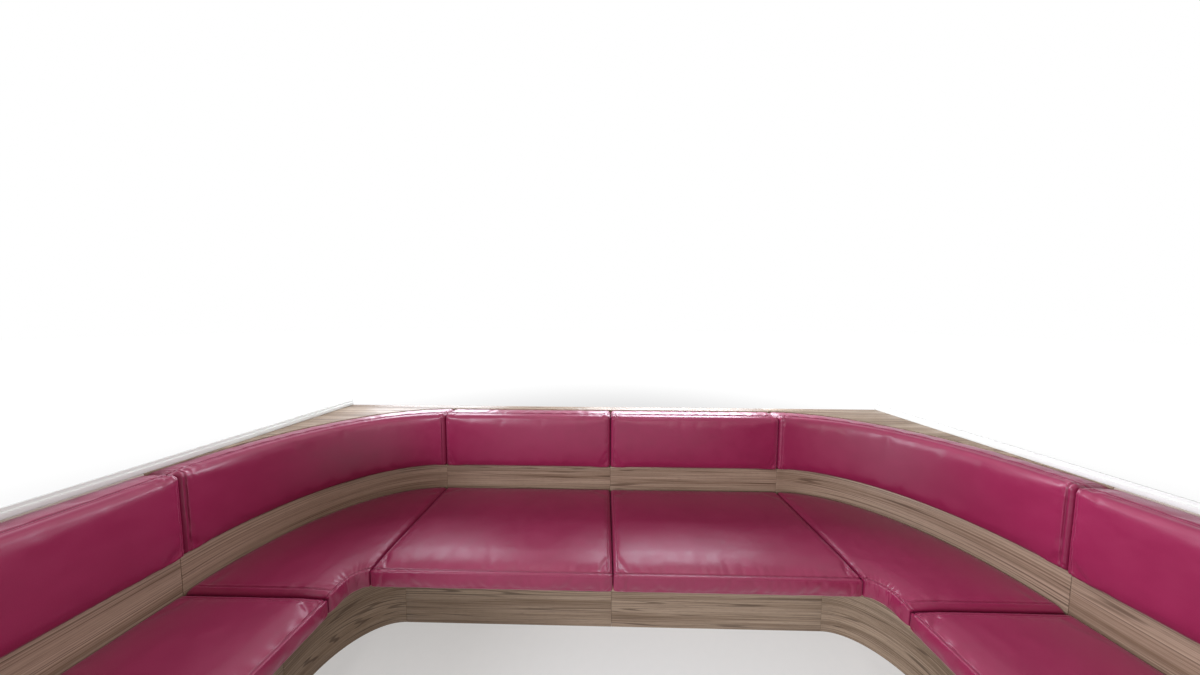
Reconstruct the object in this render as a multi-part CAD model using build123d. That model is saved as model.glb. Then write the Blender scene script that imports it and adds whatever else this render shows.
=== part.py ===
from build123d import *
import os

# U-shaped upholstered lounge bench of a passenger coach, in millimetres.
# X runs along the window wall, Y points at that wall, Z is up from the floor, and X = 0 is the
# plane of symmetry. The middle of the footprint is the origin.
# Every section is drawn once in (r, z). r is measured outwards from the centre line of a rounded
# corner, so a straight bay extrudes the section and a corner bay turns it a quarter round.

# Plan
bay_length = 980.0          # straight bay under the windows, centre joint to corner joint
arm_length = 980.0          # straight bay along a partition
corner_radius = 600.0       # face of the wood band in the rounded corner
corner_tail = 45.0          # straight stretch that ends a corner bay on the arm side
seat_depth = 545.0          # band face to the front of the seat cushion
toe_recess = 188.0          # plinth face behind the front of the seat cushion
back_depth = 105.0          # band face to the rear of the back cushion
window_gap = 41.0           # back board to the window wall, bridged by the shelf
# Heights above the floor
seat_height = 450.0         # top of the seat cushions
seat_pad = 77.0             # height of a seat cushion
band_show = 132.0           # wood band above the seat, up to the back cushions
shelf_top = 893.0           # top of the shelf and capping
back_rise = 1.0             # top of the back cushions above the shelf
trim_height = 32.0          # trim strip above the capping
# Boards
panel = 18.0                # plinth, band, seat board, shelf, rib and end panel
back_board = 15.0           # board behind the back cushions
board_setback = 25.0        # seat board edge behind the front of its cushion
# Upholstery
back_proud = 12.0           # face of a back cushion in front of the band
arm_extra_proud = 12.0      # how much further an arm's back cushion stands out
arm_seat_drop = 6.0         # how much lower an arm's seat cushion lies
crown = 7.0                 # rise of a straight cushion's face in its middle
back_roll = 24.0            # rounding of a back cushion's top front edge
back_foot = 12.0            # rounding of a back cushion's bottom front edge
top_fall = 5.0              # fall of a back cushion's top towards its rear
seat_roll = 26.0            # rounding of a seat cushion's top front edge
seat_heel = 16.0            # rounding of a seat cushion's top rear edge
end_bevel = 8.0             # bevel of a cushion's end edges
middle_flat = 0.586         # legs of the three flats round a corner cushion, as shares of the radius
outer_flat = 0.215
# Clearances
soft_clearance = 0.3        # cushion to the board behind or below it
cushion_gap = 2.0           # between the ends of two cushions
panel_gap = 0.5             # between the ends of two panels
# Trim strip, seen in section
trim_depth = 15.0           # lower step, as deep as the capping under it
trim_step = 6.0             # upper step behind the lower one
trim_lower = 19.0           # height of the lower step
trim_groove = 3.0           # shadow groove along the bottom edge
# End panel of an arm
end_proud = 8.0             # panel edge outside the cushions
end_round_large = 42.0      # outer corners at the seat front and at the top
end_round_small = 24.0      # inner corners and the lip under the seat
# Ribs, battens and brackets
duct_height = 150.0         # hole in the ribs for pipes and cables
duct_length = 230.0
batten_width = 40.0
wall_bolt_radius = 5.5
wall_bolt_offset = 55.0     # wall bolts beside the middle of a window bay
wall_bolt_low = 150.0       # height of the lower wall bolts
wall_bolt_high = 500.0      # height of the upper wall bolts
bracket_leg = 40.0
bracket_wall = 4.0
bracket_length = 60.0
floor_bolt_radius = 4.5
floor_bolt_offset = 22.0    # floor bolts beside the rib
floor_bolt_r = 590.0        # place of the floor bolts in the section
post_width = 60.0           # square post in the corner of the two walls

# Places in the section
r_band = corner_radius
r_seat_front = r_band - seat_depth
r_plinth = r_seat_front + toe_recess
r_back_board = r_band + back_depth
r_outside = r_back_board + back_board
r_wall = r_outside + window_gap
band_top = seat_height + band_show
z_seat_board = seat_height - seat_pad
z_board_under = z_seat_board - panel
z_shelf_under = shelf_top - panel
# Places in the plan
arm_reach = corner_tail + arm_length + panel
corner_y = (arm_reach - r_wall) / 2
arm_start_y = corner_y - corner_tail
arm_end_y = arm_start_y - arm_length
wall_y = corner_y + r_wall
side_x = bay_length + r_outside
rib_middle = bay_length / 2
wall_bolt_x = rib_middle + wall_bolt_offset
arm_ribs = [panel_gap, arm_length / 2 - panel / 2]
bay_ribs = [panel_gap, rib_middle - panel / 2, bay_length - panel_gap - panel]
corner_axis = Axis((bay_length, corner_y, 0), (0, 0, 1))


def arm_plane(y):
    """Section plane across an arm at y: r grows along +X, z is up, and the normal is -Y."""
    return Plane(origin=(bay_length, y, 0), x_dir=(1, 0, 0), z_dir=(0, -1, 0))


def bay_plane(x):
    """Section plane across a window bay at x: r grows along +Y, z is up, and the normal is +X."""
    return Plane(origin=(x, corner_y, 0), x_dir=(0, 1, 0), z_dir=(1, 0, 0))


def along_bay(section, gap):
    """Window bay of the section, half the gap clear of the centre joint and the gap clear of the corner."""
    return extrude(bay_plane(gap / 2) * section, bay_length - 1.5 * gap)


def along_arm(section, gap):
    """Arm of the section, the gap clear of the corner bay and of the end panel."""
    return extrude(arm_plane(arm_start_y - gap) * section, arm_length - 2 * gap)


def round_corner(section, gap):
    """Corner bay: a quarter turn of the section about the corner's centre, with its short straight tail."""
    across = arm_plane(corner_y) * section
    return revolve(across, corner_axis, 90) + extrude(across, corner_tail)


def block(r_low, r_high, z_low, z_high):
    """Rectangular section."""
    return Pos((r_low + r_high) / 2, (z_low + z_high) / 2) * Rectangle(r_high - r_low, z_high - z_low)


def rounded(section, corners):
    """Section with each listed corner (r, z, radius) rounded."""
    for r, z, radius in corners:
        section = fillet(section.vertices().sort_by_distance((r, z, 0))[0], radius)
    return section


def faceted(section, corners):
    """Section with each listed corner (r, z, radius) eased by three flats that touch the rounding."""
    for r, z, radius in corners:
        section = chamfer(section.vertices().sort_by_distance((r, z, 0))[0], middle_flat * radius)
        section = chamfer(section.vertices().sort_by_distance((r, z, 0))[:2], outer_flat * radius)
    return section


def bowed(start, end, rise):
    """Edge from start to end that bows to its left by the rise, straight where the rise is nothing."""
    if rise == 0:
        return Line(start, end)
    return SagittaArc(start, end, rise)


def back_cushion_section(proud, rise, ease):
    """Back cushion: crowned face, rolled top front edge, top that falls a little to the rear."""
    face = r_band - proud
    rear = r_back_board - soft_clearance
    foot = band_top + soft_clearance
    top = shelf_top + back_rise
    outline = [
        bowed((face, foot), (face, top), rise),
        Line((face, top), (rear, top - top_fall)),
        Line((rear, top - top_fall), (rear, foot)),
        Line((rear, foot), (face, foot)),
    ]
    return ease(make_face(outline), [(face, top, back_roll), (face, foot, back_foot)])


def seat_cushion_section(drop, rise, ease):
    """Seat cushion: crowned top with a rolled front edge over an upright border."""
    front = r_seat_front
    rear = r_band - soft_clearance
    foot = z_seat_board
    edge = seat_height - drop - rise
    outline = [
        Line((front, foot), (front, edge)),
        bowed((front, edge), (rear, edge), rise),
        Line((rear, edge), (rear, foot)),
        Line((rear, foot), (front, foot)),
    ]
    return ease(make_face(outline), [(front, edge, seat_roll), (rear, edge, seat_heel)])


def trim_section():
    """Two-step strip with a shadow groove along its bottom front edge."""
    front = r_outside - trim_depth
    top = shelf_top + trim_height
    step = shelf_top + trim_lower
    strip = block(front, r_outside, shelf_top, step) + block(front + trim_step, r_outside, step, top)
    return strip - block(front, front + trim_groove, shelf_top, shelf_top + trim_groove)


def rib_section(rear):
    """Rib: box gable under the seat board and an upright that carries band, cushion and back board."""
    heel = r_band + panel
    return block(r_plinth + panel, rear, 0, z_board_under) + block(heel, rear, z_board_under, band_top)


def duct_section():
    """Round-ended hole in a straight rib, for the pipes and cables that run under the seats."""
    middle = (r_plinth + panel + r_back_board) / 2
    return Pos(middle, z_board_under / 2) * SlotOverall(duct_length, duct_height)


def end_panel_section():
    """Outline of an arm's end: seat and back with rounded corners over the recessed plinth."""
    front = r_seat_front - end_proud
    face = r_band - back_proud - arm_extra_proud - end_proud
    seat = seat_height + end_proud
    lip = z_board_under - end_proud
    outline = Polyline(
        (r_plinth, 0), (r_outside, 0), (r_outside, shelf_top), (face, shelf_top),
        (face, seat), (front, seat), (front, lip), (r_plinth, lip), close=True,
    )
    corners = [(face, shelf_top, end_round_large), (face, seat, end_round_small)]
    corners += [(front, seat, end_round_large), (front, lip, end_round_small), (r_plinth, lip, end_round_small)]
    return rounded(make_face(outline), corners)


def soften_ends(cushion, planes):
    """Cushion with the edges of its two end faces bevelled, so that a joint reads as a groove."""
    for plane in planes:
        inner = plane.location.position
        end = [f for f in cushion.faces() if abs((f.center() - inner).dot(plane.z_dir)) < 0.01]
        cushion = chamfer([e for f in end for e in f.edges()], end_bevel)
    return cushion


def shelf_corner():
    """Corner shelf: square to the two walls outside, hollow round the back cushion inside."""
    plate = Box(r_outside, r_wall + corner_tail, panel, align=(Align.MIN, Align.MIN, Align.MIN))
    plate = Pos(bay_length, arm_start_y, z_shelf_under) * plate
    disc = Cylinder(r_back_board, panel, align=(Align.CENTER, Align.CENTER, Align.MIN))
    throat = Box(r_back_board, corner_tail, panel, align=(Align.MIN, Align.MIN, Align.MIN))
    return plate - Pos(bay_length, corner_y, z_shelf_under) * disc - Pos(bay_length, arm_start_y, z_shelf_under) * throat


def ribs():
    """Ribs of one side: three across the window bay, one on the corner's diagonal, two across the arm."""
    straight = rib_section(r_back_board) - duct_section()
    solids = [extrude(bay_plane(x) * straight, panel) for x in bay_ribs]
    solids += [extrude(arm_plane(arm_start_y - run) * straight, panel) for run in arm_ribs]
    diagonal = arm_plane(corner_y) * rib_section(r_back_board - soft_clearance)
    solids.append(extrude(diagonal, panel / 2, both=True).rotate(corner_axis, 45))
    return Compound(children=solids)


def wall_bolt_holes():
    """Two holes for wall bolts through the back board and the batten behind it."""
    depth = back_board + window_gap
    hole = Cylinder(wall_bolt_radius, depth, rotation=(90, 0, 0))
    middle = corner_y + r_back_board + depth / 2
    return [Pos(wall_bolt_x, middle, z) * hole for z in (wall_bolt_low, wall_bolt_high)]


def wall_battens():
    """Battens between back board and window wall, and the post under the corner of the shelf."""
    upright = block(r_outside, r_wall, 0, z_shelf_under)
    places = [batten_width / 2 + panel, wall_bolt_x, bay_length - panel - batten_width / 2]
    solids = [extrude(bay_plane(x - batten_width / 2) * upright, batten_width) for x in places]
    solids[1] = solids[1] - wall_bolt_holes()
    post = Box(post_width, post_width, z_shelf_under, align=(Align.MAX, Align.MAX, Align.MIN))
    solids.append(Pos(side_x, wall_y, 0) * post)
    return Compound(children=solids)


def floor_brackets():
    """Steel angles of one side: one leg lies on a rib's flank, the other is drilled and lies on the floor."""
    legs = block(0, bracket_wall, 0, bracket_leg) + block(0, bracket_leg, 0, bracket_wall)
    hole = Cylinder(floor_bolt_radius, bracket_wall, align=(Align.CENTER, Align.CENTER, Align.MIN))
    bracket = extrude(Plane.XZ * legs, bracket_length / 2, both=True) - Pos(floor_bolt_offset, 0, 0) * hole
    solids = [Pos(rib_middle + panel / 2, corner_y + floor_bolt_r, 0) * bracket]
    for run in arm_ribs:
        solids.append(Pos(bay_length + floor_bolt_r, arm_start_y - run - panel, 0) * Rot(0, 0, -90) * bracket)
    return Compound(children=solids)


arm_ends = [arm_plane(arm_start_y - cushion_gap), arm_plane(arm_end_y + cushion_gap)]
corner_ends = [bay_plane(bay_length), arm_plane(arm_start_y)]
window_ends = [bay_plane(cushion_gap / 2), bay_plane(bay_length - cushion_gap)]
# One row for each bay of a side: how it runs, its end planes, and its cushions' seat drop, extra proud, crown and easing
bays = {
    "arm": (along_arm, arm_ends, arm_seat_drop, arm_extra_proud, crown, rounded),
    "corner": (round_corner, corner_ends, 0, 0, 0, faceted),
    "window": (along_bay, window_ends, 0, 0, crown, rounded),
}
side = {}
for bay, (run, ends, seat_drop, extra_proud, rise, ease) in bays.items():
    seat = run(seat_cushion_section(seat_drop, rise, ease), cushion_gap)
    back = run(back_cushion_section(back_proud + extra_proud, rise, ease), cushion_gap)
    side["seat_cushion_" + bay] = soften_ends(seat, ends)
    side["back_cushion_" + bay] = soften_ends(back, ends)
    side["band_" + bay] = run(block(r_band, r_band + panel, z_seat_board, band_top), panel_gap)
    board_front = r_seat_front + board_setback
    side["seat_board_" + bay] = run(block(board_front, r_band + panel, z_board_under, z_seat_board), panel_gap)
    side["back_board_" + bay] = run(block(r_back_board, r_outside, 0, z_shelf_under), panel_gap)
    side["plinth_" + bay] = run(block(r_plinth, r_plinth + panel, 0, z_board_under), panel_gap)
side["back_board_window"] = side["back_board_window"] - wall_bolt_holes()
side["capping_arm"] = along_arm(block(r_back_board, r_outside, z_shelf_under, shelf_top), panel_gap)
side["shelf_corner"] = shelf_corner()
side["shelf_window"] = along_bay(block(r_back_board, r_wall, z_shelf_under, shelf_top), panel_gap)
side["trim_strip"] = extrude(arm_plane(wall_y) * trim_section(), wall_y + arm_reach - corner_y)
side["end_panel"] = extrude(arm_plane(arm_end_y) * end_panel_section(), panel)
side["ribs"] = ribs()
side["wall_battens"] = wall_battens()
side["floor_brackets"] = floor_brackets()

os.makedirs("parts", exist_ok=True)
for name, solid in side.items():
    export_step(solid, "parts/" + name + "_right.step")
    export_step(mirror(solid, about=Plane.YZ), "parts/" + name + "_left.step")
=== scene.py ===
import math
from collections import namedtuple
from functools import wraps

import bmesh
import bpy
import numpy as np
from bpy.props import FloatProperty, FloatVectorProperty, IntProperty, PointerProperty
from mathutils import Euler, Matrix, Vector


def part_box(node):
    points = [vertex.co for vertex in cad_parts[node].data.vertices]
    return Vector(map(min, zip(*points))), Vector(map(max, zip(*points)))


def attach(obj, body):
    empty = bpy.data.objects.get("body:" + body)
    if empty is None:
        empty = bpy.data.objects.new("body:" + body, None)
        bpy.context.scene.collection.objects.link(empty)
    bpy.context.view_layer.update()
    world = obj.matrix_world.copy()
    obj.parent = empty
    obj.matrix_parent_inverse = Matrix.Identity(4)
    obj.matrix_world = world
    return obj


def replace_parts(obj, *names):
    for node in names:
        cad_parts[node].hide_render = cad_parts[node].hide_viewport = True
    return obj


bl_info = {
    "name": "Upholstered Lounge Bench",
    "version": (1, 0, 0),
    "blender": (4, 5, 0),
    "location": "View3D > Sidebar > Bench",
    "description": "Dresses the packed frame of a U-shaped coach bench with cushions, panels, trim and a stage",
    "category": "Object",
}

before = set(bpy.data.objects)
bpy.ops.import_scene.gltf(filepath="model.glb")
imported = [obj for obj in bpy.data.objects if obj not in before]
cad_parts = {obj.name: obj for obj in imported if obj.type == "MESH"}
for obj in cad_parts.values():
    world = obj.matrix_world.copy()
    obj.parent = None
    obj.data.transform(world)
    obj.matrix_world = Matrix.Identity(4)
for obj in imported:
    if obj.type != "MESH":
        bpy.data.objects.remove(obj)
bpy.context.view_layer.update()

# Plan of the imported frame, in metres. A run is measured along the face of the band from the middle of the
# window wall, and r outwards from the centre line of the rounded corner.
BAND_LOW, BAND_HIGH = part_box("band_window_right")
TURN_LOW, TURN_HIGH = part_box("band_corner_right")
PANEL = BAND_HIGH.y - BAND_LOW.y
BAY = TURN_LOW.x
R_BAND = TURN_HIGH.x - BAY - PANEL
CORNER_Y = BAND_LOW.y - R_BAND
QUARTER = R_BAND * math.pi / 2
ARM_START = BAY + QUARTER + CORNER_Y - TURN_LOW.y
ARM_END = ARM_START + TURN_LOW.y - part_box("end_panel_right")[1].y
BAYS = {"window": (0.0, BAY), "corner": (BAY, ARM_START), "arm": (ARM_START, ARM_END)}
SIDES = {"right": 1.0, "left": -1.0}

RINGS = 244                     # rings along a cushion
COARSE = 3                      # grid steps of a finished cushion to one step of its cloth
CLOTH_FRAMES = 20
HALF_GAP = 0.0012               # from the end of a cushion to the middle of the joint
CAP = (0.12, 0.35, 0.6, 0.85)   # where the rings of an end cap stand on the way to its pole
ARC_POINTS = 4                  # points round an eased edge of a panel or trim
TURN_STEPS = 3                  # steps over an eased end of a panel or trim


def metres(name, description, default):
    """Property that holds a length."""
    return FloatProperty(name=name, description=description, default=default, unit="LENGTH")


def colour(name, description, *rgb):
    """Property that holds a colour."""
    return FloatVectorProperty(
        name=name, description=description, subtype="COLOR", size=4, min=0, max=1, default=(*rgb, 1))


class BenchCushions(bpy.types.PropertyGroup):
    """Sizes of the upholstery."""

    face_proud: metres("Back Proud", "Face of a back cushion in front of the band", 0.012)
    arm_proud: metres("Arm Proud", "How much further an arm's back cushion stands out", 0.012)
    back_roll: metres("Back Roll", "Rounding of a back cushion's top front edge", 0.022)
    back_foot: metres("Back Foot", "Rounding of a back cushion's bottom front edge", 0.013)
    border: metres("Top Border", "Face of a back cushion to the stitched seam on its top", 0.038)
    seat_roll: metres("Seat Roll", "Rounding of a seat cushion's top behind its front seam", 0.45)
    ledge: metres("Ledge", "Front of a seat cushion's border to the seam behind its folded edge", 0.0115)
    seam_drop: metres("Seam Drop", "Top of a seat cushion to its front seam", 0.0090)
    seat_heel: metres("Seat Heel", "Rounding of a seat cushion's rear edge", 0.018)
    end_roll: metres("End Roll", "Rounding where a cushion meets the next one", 0.019)
    arm_roll: metres("Arm Roll", "Rounding of the ends of an arm's back cushion", 0.010)
    crown: metres("Crown", "Rise of a cushion's face before it is blown up", 0.003)
    swell: metres("Swell", "Most that a point moves while the cushion is blown up", 0.005)
    pressure: FloatProperty(name="Pressure", description="Pressure inside the cloth", default=4.0)
    slack: FloatProperty(
        name="Slack", description="Spare cloth, as a share of its length", default=0.02, subtype="FACTOR")
    seam_depth: metres("Seam Depth", "How deep a seam draws the cover in", 0.0022)
    pucker: metres("Pucker", "Height of the small folds beside a seam", 0.0009)
    seed: IntProperty(name="Seed", description="Start of the folds' pattern", default=7)


class BenchStitches(bpy.types.PropertyGroup):
    """Sizes of the top stitching."""

    length: metres("Stitch", "Length of one stitch", 0.0042)
    pitch: metres("Pitch", "From one stitch to the next", 0.0058)
    radius: metres("Thread", "Half the thickness of the thread", 0.00055)
    offset: metres("Offset", "From the seam to its row of stitches", 0.0042)


class BenchFinish(bpy.types.PropertyGroup):
    """Colours of the surfaces."""

    leather: colour("Leatherette", "Cover of the cushions", 0.215, 0.010, 0.050)
    # Painted shade: the cover turns this darker colour in its seams and folds, in place of the shade that falls
    # there.
    leather_painted_shade: colour("Leatherette Shade", "Cover in its seams and folds", 0.070, 0.003, 0.016)
    thread: colour("Thread", "Light side of the thread", 0.420, 0.055, 0.140)
    laminate: colour("Laminate", "Light wood of the laminate", 0.400, 0.294, 0.210)
    laminate_dark: colour("Laminate Streaks", "Dark streaks of the laminate", 0.160, 0.098, 0.058)
    plywood: colour("Plywood", "Birch plywood of the boards and ribs", 0.620, 0.470, 0.300)
    batten: colour("Battens", "Planed softwood", 0.600, 0.430, 0.250)
    trim: colour("Trim", "Cream profile", 0.650, 0.640, 0.600)
    lipping: colour("Lipping", "Matt lipping of the cappings", 0.400, 0.330, 0.270)
    floor: colour("Floor", "Studio floor", 0.860, 0.860, 0.860)


# Shapes

def place(side, run, r, z):
    """Point of the bench. The angle a is the run past the bay over the band's radius, held between nothing and
    a right angle. x is the run, at most the bay, plus r times sin a. y is the corner's centre plus r times
    cos a, less the run past the quarter turn."""
    a = np.clip((run - BAY) / R_BAND, 0, math.pi / 2)
    x = np.minimum(run, BAY) + r * np.sin(a)
    y = CORNER_Y + r * np.cos(a) - np.maximum(run - BAY - QUARTER, 0)
    return np.stack(np.broadcast_arrays(side * x, y, z), -1)


def spread(count, crowd):
    """Shares of an edge between its ends: even steps, mixed by crowd with half of 1 - cos."""
    t = np.arange(1, count + 1) / (count + 1)
    return t * (1 - crowd) + crowd * (0.5 - 0.5 * np.cos(math.pi * t))


def rounded_loop(corners):
    """Closed sections, one for each ring. A corner is (r, z, radius, arc points, edge points, crowding). Its arc
    starts and ends its radius times the tangent of half the turn from the corner, and the points of the edge
    to the next corner follow. Returns the points, and the index where each corner's arc starts."""
    rings = max(np.size(value) for corner in corners for value in corner[:2])
    spots = np.stack([
        np.stack([np.broadcast_to(value, rings) for value in corner[:2]], -1) for corner in corners])
    ahead = np.roll(spots, -1, 0) - spots
    ahead /= np.linalg.norm(ahead, axis=-1, keepdims=True)
    behind = np.roll(ahead, 1, 0)
    turn = np.arctan2(behind[..., 0] * ahead[..., 1] - behind[..., 1] * ahead[..., 0],
                      (behind * ahead).sum(-1))
    arcs = []
    for k, (_, _, radius, arc_points, _, _) in enumerate(corners):
        radius = np.broadcast_to(radius, turn[k].shape)[:, None]
        start = spots[k] - behind[k] * radius * np.tan(np.abs(turn[k]) / 2)[:, None]
        side = np.sign(turn[k])[:, None] * np.stack([-behind[k][:, 1], behind[k][:, 0]], -1)
        centre = start + side * radius
        angle = turn[k][:, None] * np.linspace(0, 1, arc_points)
        spoke = (start - centre)[:, None]
        arcs.append(centre[:, None] + np.stack([
            spoke[..., 0] * np.cos(angle) - spoke[..., 1] * np.sin(angle),
            spoke[..., 0] * np.sin(angle) + spoke[..., 1] * np.cos(angle)], -1))
    loop, starts, count = [], [], 0
    for k, (_, _, _, arc_points, edge_points, crowd) in enumerate(corners):
        first, last = arcs[k][:, -1:], arcs[(k + 1) % len(corners)][:, :1]
        loop += [arcs[k], first + (last - first) * spread(edge_points, crowd)[None, :, None]]
        starts.append(count)
        count += arc_points + edge_points
    return np.concatenate(loop, 1), starts


def ring_places(start, end, roll, middle_steps):
    """Runs of the rings and their insets. In an end roll they are the roll times 1 - sin and 1 - cos of an angle
    that goes from a right angle to nothing; between the rolls the inset is nothing."""
    angle = np.linspace(math.pi / 2, 0, TURN_STEPS + 1)
    near, inset = roll * (1 - np.sin(angle)), roll * (1 - np.cos(angle))
    middle = start + roll + (end - start - 2 * roll) * spread(middle_steps - 1, 0.25)
    runs = np.concatenate([start + near, middle, (end - near)[::-1]])
    return runs, np.concatenate([inset, np.zeros(middle_steps - 1), inset[::-1]])


def crowded_rings(start, end, roll):
    """Runs of a cushion's rings, their insets, and their distance to the nearer end along the cover. The rings
    stand at even shares of the rounded line's length, in which the middle counts two ninths as much as the ends.
    In an end roll the run is the roll times 1 - cos and the inset the roll times 1 - sin of the distance over the
    roll."""
    samples, dense, change, thinned = 6001, 0.014, 0.06, 3.5
    arc = roll * math.pi / 2
    whole = end - start - 2 * roll + 2 * arc
    line = np.linspace(0, whole, samples)
    beyond = np.clip((np.minimum(line, whole - line) - arc - dense) / change, 0, 1)
    weight = 1 / (1 + thinned * beyond ** 2 * (3 - 2 * beyond))
    total = np.concatenate([[0], np.cumsum((weight[1:] + weight[:-1]) / 2)])
    way = np.interp(np.linspace(0, total[-1], RINGS), total, line)
    edge = np.minimum(way, whole - way)
    angle = np.clip(edge / roll, 0, math.pi / 2)
    near = np.where(edge < arc, roll * (1 - np.cos(angle)), edge - arc + roll)
    return np.where(way < whole / 2, start + near, end - near), roll * (1 - np.sin(angle)), edge


def grid_normals(grid):
    """Unit normals of a grid of closed rings, the cross product of its two tangents, pointing outwards."""
    along = np.gradient(grid, axis=0)
    around = np.roll(grid, -1, 1) - np.roll(grid, 1, 1)
    normal = np.cross(around, along)
    normal /= np.maximum(np.linalg.norm(normal, axis=-1, keepdims=True), 1e-12)
    outward = ((grid - grid.mean(1, keepdims=True)) * normal).sum()
    return normal if outward > 0 else -normal


def arc_lengths(grid, axis):
    """Distance along a grid's rows or columns from the first point."""
    steps = np.linalg.norm(np.diff(grid, axis=axis), axis=-1)
    start = np.zeros_like(steps[:1] if axis == 0 else steps[:, :1])
    return np.concatenate([start, np.cumsum(steps, axis)], axis)


def face_inwards(points, quads):
    """Whether faces look towards the middle of the points: the sign of their normals, the cross products of their
    diagonals, along the way out from the middle."""
    p = points[quads]
    facing = np.cross(p[:, 2] - p[:, 0], p[:, 3] - p[:, 1])
    return (facing * (p.mean(1) - points.mean(0))).sum() < 0


def mesh_of(name, points, quads, others):
    """Smooth mesh of points, four-sided faces and faces of another equal number of sides."""
    mesh = bpy.data.meshes.new(name)
    mesh.vertices.add(len(points))
    mesh.vertices.foreach_set("co", np.ascontiguousarray(points, np.float32).ravel())
    corners = np.concatenate([quads.ravel(), others.ravel()]).astype(np.int32)
    sides = np.concatenate([np.full(len(quads), 4), np.full(len(others), others.shape[-1])])
    mesh.loops.add(len(corners))
    mesh.loops.foreach_set("vertex_index", corners)
    mesh.polygons.add(len(sides))
    mesh.polygons.foreach_set("loop_start", (np.cumsum(sides) - sides).astype(np.int32))
    mesh.polygons.foreach_set("use_smooth", np.ones(len(sides), bool))
    mesh.update(calc_edges=True)
    if mesh.validate():
        raise RuntimeError(name + " has faulty faces")
    return mesh


def closed_mesh(name, grid):
    """Mesh of a grid of closed rings, each end closed by rings that shrink to a pole."""
    shrink = np.array(CAP)[:, None, None]
    first, last = grid[:1], grid[-1:]
    first_pole, last_pole = first.mean(1, keepdims=True), last.mean(1, keepdims=True)
    full = np.concatenate([
        (first + (first_pole - first) * shrink)[::-1], grid, last + (last_pole - last) * shrink])
    n, m = full.shape[:2]
    index = np.arange(n * m).reshape(n, m)
    beside = np.roll(index, -1, 1)
    quads = np.stack([index[:-1], beside[:-1], beside[1:], index[1:]], -1).reshape(-1, 4)
    fans = np.concatenate([
        np.stack([beside[0], index[0], np.full(m, n * m)], -1),
        np.stack([index[-1], beside[-1], np.full(m, n * m + 1)], -1)])
    points = np.concatenate([full.reshape(-1, 3), first_pole[0], last_pole[0]])
    if face_inwards(points, quads):
        quads, fans = quads[:, ::-1], fans[:, ::-1]
    return mesh_of(name, points, quads, fans)


def put(mesh, material):
    """New object of a mesh, with the mesh's name, riding on the frame."""
    obj = bpy.data.objects.new(mesh.name, mesh)
    bpy.context.scene.collection.objects.link(obj)
    mesh.materials.append(material)
    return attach(obj, "root")


# Upholstery

# What a seam does to the cover: how far it strays and the wave lengths of that, the width of its groove, where
# its two ridges crest beside it and how wide they are, the shares of the seam's depth that the ridges rise and
# the groove sinks, the wave lengths of the folds across it, and how far they reach.
Seam = namedtuple("Seam", "stray stray_waves groove crest ridge lift sink fold_waves reach")
RUN_SEAM = Seam(0.0007, (0.11, 0.04), 0.0022, 0.0052, 0.0034, 0.35, 1.0, (0.046, 0.031, 0.022), 0.016)
END_SEAM = Seam(0.0008, (0.09, 0.037), 0.0021, 0.0046, 0.0030, 0.45, 0.6, (0.045, 0.028, 0.018), 0.018)
# How much painted shade an end seam's groove gets beside the run's seam.
END_SEAM_PAINTED_SHADE = 0.25                           # how dark an end seam is beside the run's
END_GATHER, GATHER_REACH = 1.6, 0.06        # how much more the run's seam gathers beside an end seam

# Folds that fan out from a corner: their height, their wave lengths, where they are highest, how wide they
# spread, and the width of the dent at the corner.
Fan = namedtuple("Fan", "height waves crest spread dent")
FAN = Fan(0.0016, (0.034, 0.022), 0.018, 0.022, 0.012)

UNEVEN = ((0.0008, 0.16), (0.00022, 0.05))  # heights and wave lengths of a cover's unevenness
MOTTLE_WAVES = 16
FRONT_FADE, REAR_FADE = 0.01, 0.02          # over which the sewn shapes fade out at the edges of the cover


def bump_profile(share):
    """Rise across a padded panel: 1 less the fourth power of the distance from its middle."""
    return 1 - np.clip(np.abs(2 * share - 1), 0, 1) ** 4


def ripple(along, rng, waves):
    """Irregular wave along a seam: sines of the given lengths with random phases and strengths."""
    wave = 0
    for size in waves:
        wave = wave + rng.uniform(0.5, 1) * np.sin(2 * math.pi * along / size + rng.uniform(0, 2 * math.pi))
    return wave / len(waves)


def mottle(points, rng, size):
    """Smooth unevenness: plane waves of about the given length in random directions."""
    ways = rng.normal(size=(MOTTLE_WAVES, 3))
    ways /= np.linalg.norm(ways, axis=-1, keepdims=True)
    ways *= 2 * math.pi / (size * rng.uniform(0.7, 1.5, (MOTTLE_WAVES, 1)))
    return np.sin(points @ ways.T + rng.uniform(0, 2 * math.pi, MOTTLE_WAVES)).mean(-1)


def hump(distance, width):
    """Bell curve of the distance over the width."""
    return np.exp(-(distance / width) ** 2)


def back_corners(sizes, bay, inset):
    """Section of a back cushion: foot, rolled top front edge, stitched seam, rear."""
    low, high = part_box("back_cushion_" + bay + "_right")
    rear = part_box("back_cushion_window_right")[1].y - CORNER_Y
    face = R_BAND - sizes.face_proud - (sizes.arm_proud if bay == "arm" else 0) + inset
    foot, top, fall = low.z + 0.25 * inset, high.z - 0.8 * inset, 0.004
    seam = face + sizes.border - 0.6 * inset
    return [
        (face, foot, sizes.back_foot, 6, 42, 0.3),
        (face, top, sizes.back_roll, 12, 9, 0.8),
        (seam, top, 0.0, 1, 17, 0.75),
        (rear, top - fall, 0.007, 6, 6, 0.0),
        (rear, foot, 0.004, 3, 6, 0.0),
    ]


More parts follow.
